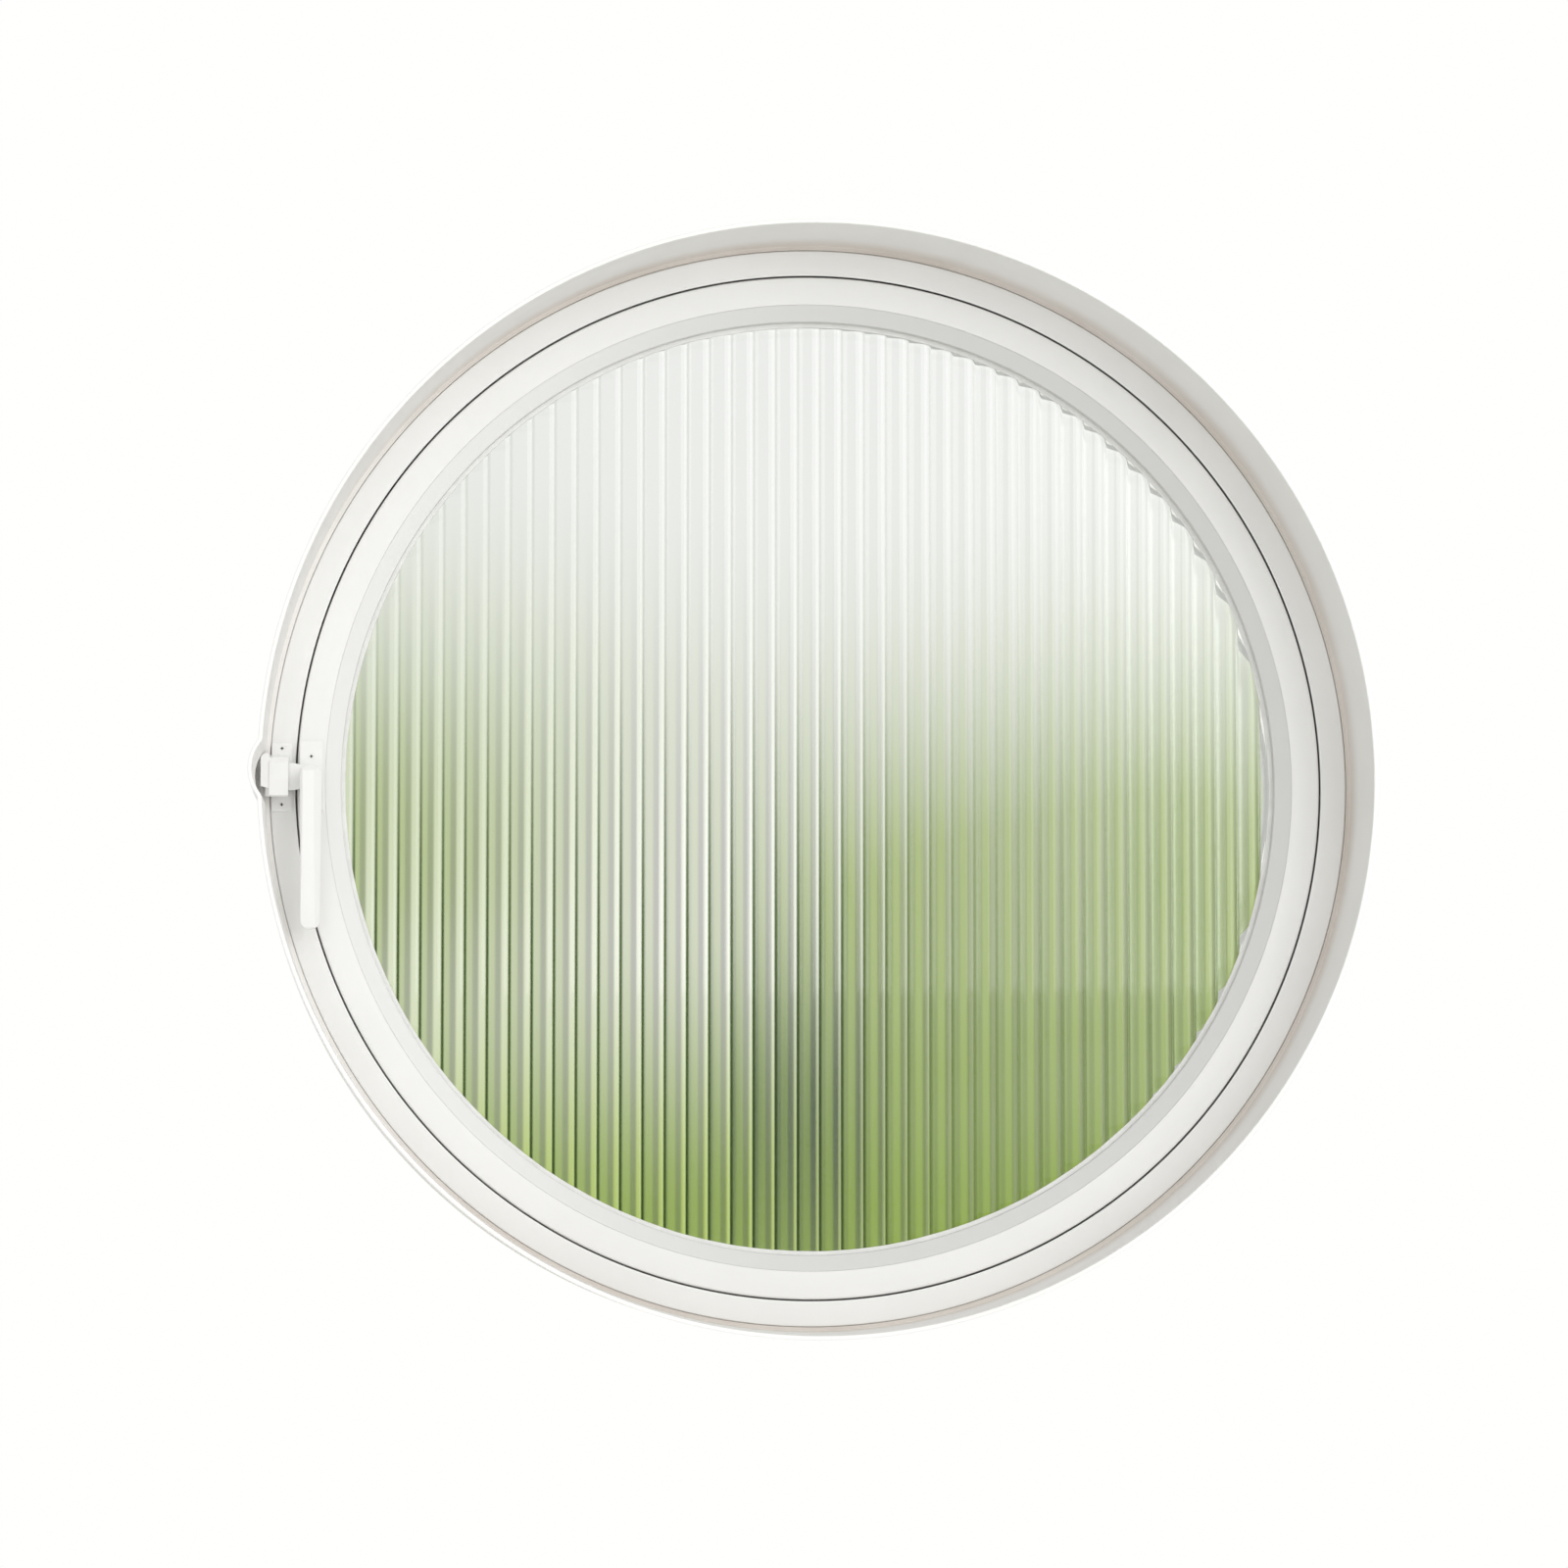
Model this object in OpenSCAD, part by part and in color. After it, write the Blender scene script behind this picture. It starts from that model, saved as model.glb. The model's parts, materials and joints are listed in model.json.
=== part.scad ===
// Round basement window: fixed frame with a reveal lining, outward side-hung sash,
// sealed double glazing with a reeded inner pane, and a cockspur-type lever latch.
// X runs to the right and Z up as seen from the room, Y runs outwards through the wall.
// The origin is on the window's axis, halfway through the depth of the frame.

/* [Frame] */
// Diameter of the frame's visible face
face_d = 800; // [640:10:1100]
// Width of the frame's visible face
frame_face_w = 19; // [16:0.5:26]
// Depth of the frame through the wall
frame_depth = 68; // [64:1:90]
// Step from the visible face out to the wall seat
seat_step = 8; // [7:0.5:14]
// Thickness of the frame's outer wall
frame_wall = 15; // [13:0.5:18]
// Depth of the lip that covers the sash edge
lip_depth = 22; // [18:1:26]
// Draft of the lip's inner side, in degrees
lip_draft = 7; // [6:0.5:9]
// Rounding of the visible edges
edge_r = 1.5; // [0.8:0.1:2]

/* [Reveal lining] */
// How far the lining stands out in front of the frame
lining_reach = 100; // [45:1:120]
// Length of the spigot that the lining slips over
spigot_len = 8; // [6:0.5:12]
// Thickness of the lining at its rounded lip
lining_lip_t = 3.2; // [2.4:0.1:4]
// Thickness of the lining just in front of its cove
lining_wall = 3.8; // [3.2:0.1:4.4]
// Radial play between the lining and the frame
lining_fit = 0.2; // [0.1:0.05:0.4]
// How far the outside of the lining stays inside the wall seat
lining_set = 0.8; // [0.6:0.1:1.5]
// Inner radius of the round pocket that clears the keeper
pocket_r = 30.5; // [30:0.5:34]

/* [Sash] */
// Gap between the sash and the frame's lip
sash_gap = 1.3; // [1:0.1:2]
// Width of the sash's visible face
sash_face_w = 20.4; // [19:0.2:26]
// Draft of the sash's outer edge, in degrees
sash_draft = 6; // [5:0.5:6]
// Play between the sash flange and the frame's outer wall
flange_gap = 3; // [2.5:0.5:5]
// Height of the seal above the frame's shoulder
seal_h = 2.7; // [2:0.1:4]
// Width of the seal and of its groove
seal_w = 3; // [2.4:0.1:4]

/* [Glazing] */
// Depth of the glass behind the sash face
glass_set = 21; // [18:0.5:24]
// Thickness of the reeded inner pane
pane_t = 6; // [5:0.5:8]
// Thickness of the plain outer pane
outer_pane_t = 4; // [3:0.5:6]
// Width of the sealed space between the panes
cavity_t = 16; // [10:1:18]
// Distance from one reed to the next
reed_pitch = 16.5; // [10:0.5:25]
// Height of the reeds
reed_h = 1.2; // [1:0.1:2.4]
// Radial play round the panes, where the setting blocks sit
pane_play = 3.2; // [2.4:0.1:4]
// Thickness of the gaskets on both sides of the glass
gasket_t = 3; // [2:0.5:4]
// Width of the bevelled glazing bead
bead_w = 11.7; // [10:0.1:14]
// Width of the hairline joints between the bead's four lengths
bead_joint = 0.2; // [0.1:0.05:0.4]
// Depth of the bead's bevel
bead_bevel = 10; // [7:0.5:11]
// Width of the gasket that shows inside the bead
gasket_show = 3; // [2:0.5:4]

/* [Latch] */
// Height of the lever's pivot above the window's axis
pivot_z = 3.6; // [0:0.2:8]
// Length of the lever below its pivot
lever_len = 113; // [90:1:140]
// Width of the lever at its hub
lever_w = 16; // [14:0.5:16.5]
// Thickness of the lever's grip
grip_t = 10; // [8:0.5:12]
// Room for the fingers between the sash and the grip
finger_gap = 19; // [17:0.5:24]
// Length of the latch tongue from the pivot
tongue_len = 28; // [26:0.5:29]
// Height of the latch tongue
tongue_h = 20; // [14:0.5:21]
// Thickness of the latch tongue
tongue_t = 6; // [4:0.5:8]
// Thickness of the plate under the lever
base_t = 6; // [5:0.5:8]
// Thickness of the plate under the keeper
keeper_plate_t = 2.5; // [2:0.5:4]
// Play between the tongue and the keeper
tongue_play = 0.8; // [0.5:0.1:1.2]
// Radius of the spindle
spindle_r = 4; // [3:0.5:5]

/* [Hinges] */
// Height of each hinge
hinge_h = 55; // [45:1:70]
// Distance from the window's axis to the near end of a hinge
hinge_z = 20; // [12:1:60]
// Thickness of the hinge leaves
leaf_t = 3; // [2:0.5:3.5]
// Outer radius of the hinge knuckles
knuckle_r = 5.5; // [5:0.25:6.5]
// Radius of the hinge pins
hinge_pin_r = 3; // [2:0.25:3.5]
// Running play of pins and spindle
running_play = 0.05; // [0.03:0.01:0.1]

/* [Fixings] */
// Thickness of the fixing straps
strap_t = 1.5; // [1:0.25:1.75]
// Width of the fixing straps
strap_w = 25; // [20:1:40]
// How far the straps lie below the wall seat
strap_sink = 0.8; // [0.6:0.05:1.2]
// How far the straps reach behind the frame
strap_reach = 45; // [35:1:80]
// Radius of the hole in each strap
strap_hole_r = 4; // [3:0.25:5]
// Radius of the screw shanks
screw_r = 1.6; // [1.2:0.1:2]
// Radius of the screw heads
screw_head_r = 2.6; // [2.4:0.1:2.8]

/* [Hidden] */
$fn = 96;
eps = 0.01;
fit = 0.1;

// Main circles and planes of the frame
face_r = face_d / 2;
seat_r = face_r + seat_step;
lip_r = face_r - frame_face_w;
frame_in_r = seat_r - frame_wall;
room_y = -frame_depth / 2;
out_y = frame_depth / 2;
shoulder_y = room_y + lip_depth;
lip_back_r = lip_r + lip_depth * tan(lip_draft);
back_chamfer = 2.5;
seal_depth = 3;
seal_r = lip_back_r + 2;

// Lining
lining_back_y = room_y + spigot_len;
lining_front_y = room_y - lining_reach;
lining_out_r = seat_r - lining_set;
lining_in_r = face_r + lining_fit;
lining_clear_r = lining_out_r - lining_wall;
cove_r = lining_clear_r - lining_in_r;
lining_tongue_w = 2.2;
lining_tongue_len = 4.8;
lining_tongue_r = (lining_in_r + lining_out_r - lining_tongue_w) / 2;

// Sash
nose_r = lip_r - sash_gap;
rebate_r = nose_r - sash_face_w;
flange_play = 0.3;
flange_y = shoulder_y + seal_h + flange_play;
nose_back_r = nose_r + (flange_y - room_y) * tan(sash_draft);
flange_r = frame_in_r - flange_gap;
sash_chamfer = 2;

// Glazing, from the room outwards
pane_y = room_y + glass_set;
pane_r = rebate_r - pane_play;
cavity_y = pane_y + pane_t;
outer_pane_y = cavity_y + cavity_t;
outer_gasket_y = outer_pane_y + outer_pane_t;
leg_y = outer_gasket_y + gasket_t;
bead_back_y = pane_y - gasket_t;
bead_in_r = rebate_r - bead_w;
gasket_in_r = bead_in_r - gasket_show;
leg_in_r = pane_r - 6;
leg_slope = 7;
spacer_w = 5;
spacer_in_r = pane_r - spacer_w - 2;
bead_joint_angles = [45, 135, 225, 315];
bead_groove = 2.4;
bead_groove_w = 4;
bead_groove_y = bead_back_y - bead_groove_w - 3;
block_len = 40;

// Latch: depths in front of the room face are written as p
pivot_x = -(nose_r + rebate_r) / 2;
base_w = lever_w + 0.8;
base_top = 27;
base_bottom = 25;
base_bevel = 7;
hub_gap = 0.3;
hub_p = base_t + hub_gap;
tongue_p = hub_p + 0.7;
tongue_end_p = tongue_p + tongue_t;
grip_p = finger_gap;
grip_end_p = grip_p + grip_t;
hub_r = lever_w / 2;
lever_end_r = hub_r - 1;
neck_drop = 26;
lever_bevel = 4.5;
left_bevel = hub_r - 2;
right_bevel = hub_r - 5.5;
washer_t = 1.4;
rivet_t = 0.6;
recess_t = washer_t + rivet_t + 0.6;

// Keeper
keeper_right = -(lip_r + 2.6);
keeper_left = -(face_r - 1.5);
keeper_top = tongue_h / 2 + 15.5;
keeper_bottom = 25;
box_right = keeper_right - 2.5;
box_wall = 3;
cavity_left = pivot_x - norm([tongue_len, tongue_h / 2]) - tongue_play;
box_left = cavity_left - box_wall;
box_top = tongue_h / 2 + tongue_play + 2;
box_bottom = tongue_h / 2 + 5;
box_front_p = tongue_end_p + tongue_play + 4.5;
pad_t = 1.4;
pad_p = tongue_p - 0.4 - pad_t;
ear_w = 3.4;
ear_h = 26;
ear_r = 4;
ear_p = 11;
ear_end_p = box_front_p - 1;
pocket_x = -(lining_out_r - 27.2);
pocket_wall = lining_wall - 0.3;
pocket_floor = 4;

// Hinges
axis_x = flange_r - 2;
axis_y = out_y + knuckle_r + 0.3;
knuckle_gap = 0.4;
knuckle_h = (hinge_h - 2 * knuckle_gap) / 3;
leaf_play = 0.4;
sash_leaf_w = 30;
frame_leaf_r = seat_r - 2;
leaf_screw_inset = 9;
frame_screw_r = seat_r - 7;
sash_screw_x = axis_x - 20;
pin_head_r = hinge_pin_r + 1.4;
pin_head_h = 1.5;

// Fixings
strap_angles = [0, 90, 180, 270];
strap_back = 42;
strap_out_r = seat_r - strap_sink;
strap_in_r = strap_out_r - strap_t;
strap_screw_y = out_y - 24;
strap_hole_y = out_y + strap_reach - 15;
screw_head_h = screw_head_r - screw_r;
screw_play = 0.05;
drive_l = 2.4;
drive_w = 0.8;
drive_d = 1.6;
long_screw = 16;
short_screw = 11;

// Points of an arc about [x, y], from angle a0 to a1
function arc(x, y, r, a0, a1, n = 5) =
    [for (i = [0:n]) let (a = a0 + (a1 - a0) * i / n) [x + r * cos(a), y + r * sin(a)]];

// Turns a profile of [radius, depth] about the window's axis
module revolve() {
    rotate([-90, 0, 0]) rotate_extrude($fn = 180) children();
}

// A plain ring between two radii and two depths
module ring(r0, r1, y0, y1) {
    revolve() translate([r0, y0]) square([r1 - r0, y1 - y0]);
}

// A round bar along Y between two depths in front of the room face
module peg(x, z, r, p0, p1) {
    translate([x, room_y - p0, z]) rotate([90, 0, 0]) cylinder(h = p1 - p0, r = r);
}

// Extrudes an outline of [x, z] from depth p0 to p1 in front of the room face
module front_extrude(p0, p1) {
    translate([0, room_y - p0, 0]) rotate([90, 0, 0]) linear_extrude(p1 - p0) children();
}

// Extrudes a side profile of [p, z] from x0 to x1
module side_extrude(x0, x1) {
    translate([x1, room_y, 0]) rotate([90, 0, -90]) linear_extrude(x1 - x0) children();
}

// Countersunk screw along +Z with its head's top at zero and a cross drive
module screw(length) {
    difference() {
        union() {
            cylinder(h = screw_head_h, r1 = screw_head_r, r2 = screw_r, $fn = 32);
            cylinder(h = length, r = screw_r, $fn = 32);
        }
        for (turn = [0, 90])
            rotate(turn)
                translate([-drive_l / 2, -drive_w / 2, -eps])
                    cube([drive_l, drive_w, drive_d + eps]);
    }
}

// Hole that the same screw sits in, with its countersink
module screw_hole(length) {
    cylinder(h = screw_head_h, r1 = screw_head_r + screw_play, r2 = screw_r + screw_play, $fn = 32);
    translate([0, 0, -eps]) cylinder(h = length + 0.5, r = screw_r + screw_play, $fn = 32);
}

// Places of the screws
module at_keeper_screws() {
    for (z = [pivot_z + keeper_top - 4, pivot_z - keeper_bottom + 5])
        translate([(keeper_left + keeper_right) / 2, room_y - keeper_plate_t, z])
            rotate([-90, 0, 0]) children();
}

module at_base_screws() {
    for (z = [pivot_z + base_top - base_bevel - 4.5, pivot_z - base_bottom + 5.5])
        translate([pivot_x, room_y - base_t, z]) rotate([-90, 0, 0]) children();
}

module at_frame_leaf_screws() {
    for (side = [-1, 1], z = [hinge_z + leaf_screw_inset, hinge_z + hinge_h - leaf_screw_inset])
        translate([sqrt(frame_screw_r ^ 2 - z ^ 2), out_y + leaf_t, side * z])
            rotate([90, 0, 0]) children();
}

module at_sash_leaf_screws() {
    for (side = [-1, 1], z = [hinge_z + leaf_screw_inset, hinge_z + hinge_h - leaf_screw_inset])
        translate([sash_screw_x, out_y + leaf_t, side * z]) rotate([90, 0, 0]) children();
}

module at_straps() {
    for (a = strap_angles) rotate([0, -a, 0]) children();
}

module at_strap_screw() {
    translate([strap_out_r, strap_screw_y, 0]) rotate([0, -90, 0]) children();
}

// Recess in the wall seat that a strap lies in
module strap_recess() {
    intersection() {
        ring(strap_in_r, seat_r + 1, out_y - strap_back - fit, out_y + 1);
        translate([0, out_y - strap_back - fit, -strap_w / 2 - fit])
            cube([seat_r * 2, strap_back + 2, strap_w + 2 * fit]);
    }
}

// Fixed frame: drafted lip, seal groove in its shoulder, wall seat and spigot for the lining
module outer_frame() {
    groove_in = lining_tongue_r - lining_fit;
    groove_out = lining_tongue_r + lining_tongue_w + lining_fit;
    groove_y = lining_back_y + lining_tongue_len + lining_fit;
    color("white") difference() {
        revolve() polygon(concat(
            arc(lip_r + edge_r, room_y + edge_r, edge_r, 180, 270),
            arc(face_r - edge_r, room_y + edge_r, edge_r, 270, 360),
            [[face_r, lining_back_y],
             [groove_in, lining_back_y], [groove_in, groove_y],
             [groove_out, groove_y], [groove_out, lining_back_y],
             [seat_r, lining_back_y],
             [seat_r, out_y - 1], [seat_r - 1, out_y],
             [frame_in_r + back_chamfer, out_y], [frame_in_r, out_y - back_chamfer],
             [frame_in_r, shoulder_y],
             [seal_r + seal_w, shoulder_y], [seal_r + seal_w, shoulder_y - seal_depth],
             [seal_r, shoulder_y - seal_depth], [seal_r, shoulder_y],
             [lip_back_r, shoulder_y]]));
        at_keeper_screws() screw_hole(long_screw);
        at_frame_leaf_screws() screw_hole(long_screw);
        at_straps() strap_recess();
        at_straps() at_strap_screw() screw_hole(short_screw);
    }
}

// Lining of the wall reveal: slips over the spigot, a cove leads to a thin wall with a round lip
module reveal_lining() {
    lip_half = lining_lip_t / 2;
    pocket_lip = pocket_wall / 2;
    color("whitesmoke") union() {
        difference() {
            revolve() polygon(concat(
                [[lining_in_r, lining_back_y]],
                arc(lining_in_r, room_y - 1 - cove_r, cove_r, 90, 0),
                arc(lining_out_r - lip_half, lining_front_y + lip_half, lip_half, 180, 360),
                [[lining_out_r, lining_back_y],
                 [lining_tongue_r + lining_tongue_w, lining_back_y],
                 [lining_tongue_r + lining_tongue_w, lining_back_y + lining_tongue_len],
                 [lining_tongue_r, lining_back_y + lining_tongue_len],
                 [lining_tongue_r, lining_back_y]]));
            peg(pocket_x, pivot_z, pocket_r + 0.3, -0.3, lining_reach + 1);
        }
        difference() {
            translate([pocket_x, 0, pivot_z]) revolve() polygon(concat(
                [[0, room_y], [pocket_r, room_y]],
                arc(pocket_r + pocket_lip, lining_front_y + 0.5 + pocket_lip, pocket_lip, 180, 360),
                [[pocket_r + pocket_wall, room_y + pocket_floor - 1],
                 [pocket_r + pocket_wall - 1, room_y + pocket_floor],
                 [0, room_y + pocket_floor]]));
            ring(0, lining_in_r + 0.1, lining_front_y - 1, out_y);
            ring(0, lining_clear_r + 0.2, lining_front_y - 1, room_y - 1 - cove_r);
        }
    }
}

// Bulb seal that the sash flange closes on
module frame_seal() {
    half = seal_w / 2 - fit;
    mid = seal_r + seal_w / 2;
    color("dimgray") revolve() polygon(concat(
        [[mid - half, shoulder_y - seal_depth + fit], [mid + half, shoulder_y - seal_depth + fit]],
        arc(mid, shoulder_y + seal_h - half, half, 0, 180, 8)));
}

// Steel straps let into the wall seat, each with one hole for a wall screw
module fixing_straps() {
    color("silver") at_straps() difference() {
        intersection() {
            ring(strap_in_r, strap_out_r, out_y - strap_back, out_y + strap_reach);
            union() {
                translate([0, out_y - strap_back, -strap_w / 2])
                    cube([seat_r * 2, strap_back + strap_reach - strap_w / 2, strap_w]);
                translate([0, out_y + strap_reach - strap_w / 2, 0]) rotate([0, 90, 0])
                    cylinder(h = seat_r * 2, r = strap_w / 2);
            }
        }
        at_strap_screw() screw_hole(short_screw);
        translate([strap_in_r - 1, strap_hole_y, 0]) rotate([0, 90, 0])
            cylinder(h = strap_t + 2, r = strap_hole_r);
    }
}

module strap_screws() {
    color("silver") at_straps() at_strap_screw() screw(short_screw);
}

// Keeper: screwed plate with a hooked box, open to the right and below for the tongue
module keeper() {
    plate_z0 = pivot_z - keeper_bottom;
    plate_z1 = pivot_z + keeper_top;
    inner_p = pad_p;
    top_bevel = 3;
    color("white") difference() {
        union() {
            side_extrude(keeper_left, keeper_right) polygon([
                [0, plate_z0], [keeper_plate_t - 1, plate_z0], [keeper_plate_t, plate_z0 + 1],
                [keeper_plate_t, plate_z1 - 2], [keeper_plate_t - 1.5, plate_z1], [0, plate_z1]]);
            intersection() {
                side_extrude(box_left, box_right) polygon([
                    [0, pivot_z - box_bottom + 2], [box_front_p - 2, pivot_z - box_bottom],
                    [box_front_p, pivot_z - box_bottom + 1],
                    [box_front_p, pivot_z + box_top - top_bevel],
                    [box_front_p - top_bevel, pivot_z + box_top + 1], [0, pivot_z + box_top + 4]]);
                linear_extrude(face_d, center = true) polygon([
                    [box_right, room_y], [box_right, room_y - box_front_p],
                    [box_left + 3, room_y - box_front_p], [box_left, room_y - box_front_p + 4],
                    [box_left, room_y - 5], [keeper_left, room_y - 1], [keeper_left, room_y]]);
            }
            front_extrude(ear_p, ear_end_p) polygon(concat(
                arc(box_left - ear_w + ear_r, pivot_z + box_top + 4 - ear_r, ear_r, 180, 90),
                [[box_left + box_wall, pivot_z + box_top + 4],
                 [box_left + box_wall, pivot_z + box_top + 4 - ear_h],
                 [box_left - ear_w, pivot_z + box_top + 6 - ear_h]]));
        }
        front_extrude(inner_p, tongue_end_p + tongue_play) polygon([
            [cavity_left, pivot_z + tongue_h / 2 + tongue_play],
            [cavity_left, pivot_z - box_bottom - 10],
            [keeper_right + 1, pivot_z - box_bottom - 10],
            [keeper_right + 1, pivot_z + tongue_h / 2 + tongue_play]]);
        ring(0, seat_r * 2, room_y, room_y + 20);
        at_keeper_screws() screw_hole(long_screw);
    }
}

// Slide pad in the keeper that the tongue wipes over
module keeper_pad() {
    color("gainsboro") front_extrude(pad_p, pad_p + pad_t)
        translate([cavity_left + fit, pivot_z - box_bottom + 4])
            square([box_right - cavity_left - 2 * fit, box_bottom + tongue_h / 2 - 4]);
}

module keeper_screws() {
    color("silver") at_keeper_screws() screw(long_screw);
}

// Bottom and top of one of a hinge's three knuckles
function knuckle_z(i) = hinge_z + i * (knuckle_h + knuckle_gap);

// Leaf with its own knuckles: the rest of its edge is cut back round the axis
module hinge_leaf(x0, x1, own) {
    difference() {
        union() {
            difference() {
                translate([x0, out_y, hinge_z]) cube([x1 - x0, leaf_t, hinge_h]);
                translate([axis_x, axis_y, hinge_z - 1])
                    cylinder(h = hinge_h + 2, r = knuckle_r + leaf_play);
            }
            for (i = own) translate([0, 0, knuckle_z(i)]) {
                translate([axis_x, axis_y, 0]) cylinder(h = knuckle_h, r = knuckle_r);
                translate([max(x0, axis_x - knuckle_r - leaf_play), out_y, 0])
                    cube([min(x1, axis_x + knuckle_r + leaf_play)
                        - max(x0, axis_x - knuckle_r - leaf_play), leaf_t, knuckle_h]);
            }
        }
        translate([axis_x, axis_y, hinge_z - 1])
            cylinder(h = hinge_h + 2, r = hinge_pin_r + running_play);
    }
}

module frame_leaf() {
    color("lightgray") difference() {
        intersection() {
            hinge_leaf(axis_x + 2, frame_leaf_r, [0, 2]);
            ring(0, frame_leaf_r, out_y, out_y + 4 * knuckle_r);
        }
        at_frame_leaf_screws() screw_hole(long_screw);
    }
}

module upper_hinge_frame_leaf() { frame_leaf(); }

module lower_hinge_frame_leaf() { mirror([0, 0, 1]) frame_leaf(); }

module frame_leaf_screws() {
    color("silver") at_frame_leaf_screws() screw(long_screw);
}

module sash_leaf() {
    color("lightgray") difference() {
        hinge_leaf(axis_x - 2 - sash_leaf_w, axis_x - 2, [1]);
        at_sash_leaf_screws() screw_hole(long_screw);
    }
}

module upper_hinge_sash_leaf() { sash_leaf(); }

module lower_hinge_sash_leaf() { mirror([0, 0, 1]) sash_leaf(); }

module sash_leaf_screws() {
    color("silver") at_sash_leaf_screws() screw(long_screw);
}

// Headed pin through the three knuckles
module hinge_pin() {
    color("silver") translate([axis_x, axis_y, hinge_z]) {
        cylinder(h = hinge_h, r = hinge_pin_r);
        for (z = [-pin_head_h, hinge_h])
            translate([0, 0, z]) cylinder(h = pin_head_h, r = pin_head_r);
    }
}

module upper_hinge_pin() { hinge_pin(); }

module lower_hinge_pin() { mirror([0, 0, 1]) hinge_pin(); }

// Sash: drafted nose in the room, flange that closes on the seal, sloped leg outside the glass
module sash_ring() {
    color("white") difference() {
        revolve() polygon(concat(
            arc(nose_r - edge_r, room_y + edge_r, edge_r, 270, 360),
            [[nose_back_r, flange_y], [flange_r, flange_y],
             [flange_r, out_y - sash_chamfer], [flange_r - sash_chamfer, out_y],
             [leg_in_r + leg_slope, out_y], [leg_in_r, out_y - leg_slope],
             [leg_in_r, leg_y], [rebate_r, leg_y],
             [rebate_r, bead_groove_y + bead_groove_w],
             [rebate_r + bead_groove, bead_groove_y + bead_groove_w],
             [rebate_r + bead_groove, bead_groove_y], [rebate_r, bead_groove_y],
             [rebate_r, room_y]]));
        at_base_screws() screw_hole(long_screw);
        at_sash_leaf_screws() screw_hole(long_screw);
    }
}

// Bevelled bead in four bent lengths, which snap into the rebate and hold the glass
module glazing_bead() {
    bead_out_r = rebate_r - fit;
    nose = 1;
    color("gainsboro") difference() {
        revolve() polygon(concat(
            [[bead_out_r, room_y + 0.2], [bead_in_r + nose, room_y + bead_bevel - nose]],
            arc(bead_in_r + nose, room_y + bead_bevel, nose, 250, 180, 3),
            [[bead_in_r, bead_back_y], [bead_out_r, bead_back_y],
             [bead_out_r, bead_groove_y + bead_groove_w - fit],
             [rebate_r + bead_groove - 2 * fit, bead_groove_y + bead_groove_w - fit],
             [rebate_r + bead_groove - 2 * fit, bead_groove_y + fit + 1],
             [bead_out_r, bead_groove_y + fit]]));
        for (a = bead_joint_angles) rotate([0, -a, 0])
            translate([0, room_y - 1, -bead_joint / 2]) cube([face_d, frame_depth, bead_joint]);
    }
}

// Soft strip between the bead and the reeded pane: its lip shows inside the bead
module inner_gasket() {
    round_r = gasket_t / 2;
    color("whitesmoke") revolve() polygon(concat(
        arc(gasket_in_r + round_r, bead_back_y + round_r, round_r, 90, 270),
        [[pane_r - 4, bead_back_y], [pane_r - 4, pane_y]]));
}

// Inner pane with upright reeds on the room side
module reeded_pane() {
    reed_r = (reed_pitch ^ 2 / 4 + reed_h ^ 2) / (2 * reed_h);
    half_count = ceil(pane_r / reed_pitch);
    steps = 6;
    color("lightgreen", 0.4) intersection() {
        rotate([-90, 0, 0]) cylinder(h = frame_depth * 2, r = pane_r, center = true, $fn = 180);
        linear_extrude(pane_r * 3, center = true) polygon(concat(
            [for (i = [-half_count:half_count], s = [0:steps - 1])
                let (u = (s / steps - 0.5) * reed_pitch)
                [i * reed_pitch + u, pane_y + reed_r - sqrt(reed_r ^ 2 - u ^ 2)]],
            [[(half_count + 0.5) * reed_pitch, cavity_y],
             [-(half_count + 0.5) * reed_pitch, cavity_y]]));
    }
}

// Hollow-section bar that keeps the panes apart
module spacer_bar() {
    wall = 0.8;
    color("white") difference() {
        ring(spacer_in_r, spacer_in_r + spacer_w, cavity_y, outer_pane_y);
        ring(spacer_in_r + wall, spacer_in_r + spacer_w - wall, cavity_y + wall, outer_pane_y - wall);
    }
}

module edge_seal() {
    color("black") ring(spacer_in_r + spacer_w, pane_r, cavity_y, outer_pane_y);
}

module outer_pane() {
    color("lightcyan", 0.4) ring(0, pane_r, outer_pane_y, outer_gasket_y);
}

module outer_gasket() {
    color("whitesmoke") ring(leg_in_r + 2, pane_r - 1, outer_gasket_y, leg_y);
}

// Blocks that centre the sealed unit in the rebate
module setting_blocks() {
    color("gray") at_straps() intersection() {
        ring(pane_r + fit, rebate_r - fit, pane_y + 2, outer_gasket_y - 0.5);
        translate([0, room_y, -block_len / 2]) cube([face_d, frame_depth, block_len]);
    }
}

// Plate under the lever, with the spindle's bearing and a recess for the washer behind it
module handle_base() {
    z0 = pivot_z - base_bottom;
    z1 = pivot_z + base_top;
    color("white") difference() {
        side_extrude(pivot_x - base_w / 2, pivot_x + base_w / 2) polygon([
            [0, z0], [base_t - 1, z0], [base_t, z0 + 1],
            [base_t, z1 - base_bevel], [base_t / 2, z1], [0, z1]]);
        peg(pivot_x, pivot_z, spindle_r + running_play, -1, base_t + 1);
        peg(pivot_x, pivot_z, hub_r - 0.5, -1, recess_t);
        at_base_screws() screw_hole(long_screw);
    }
}

module handle_base_screws() {
    color("silver") at_base_screws() screw(long_screw);
}

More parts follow.
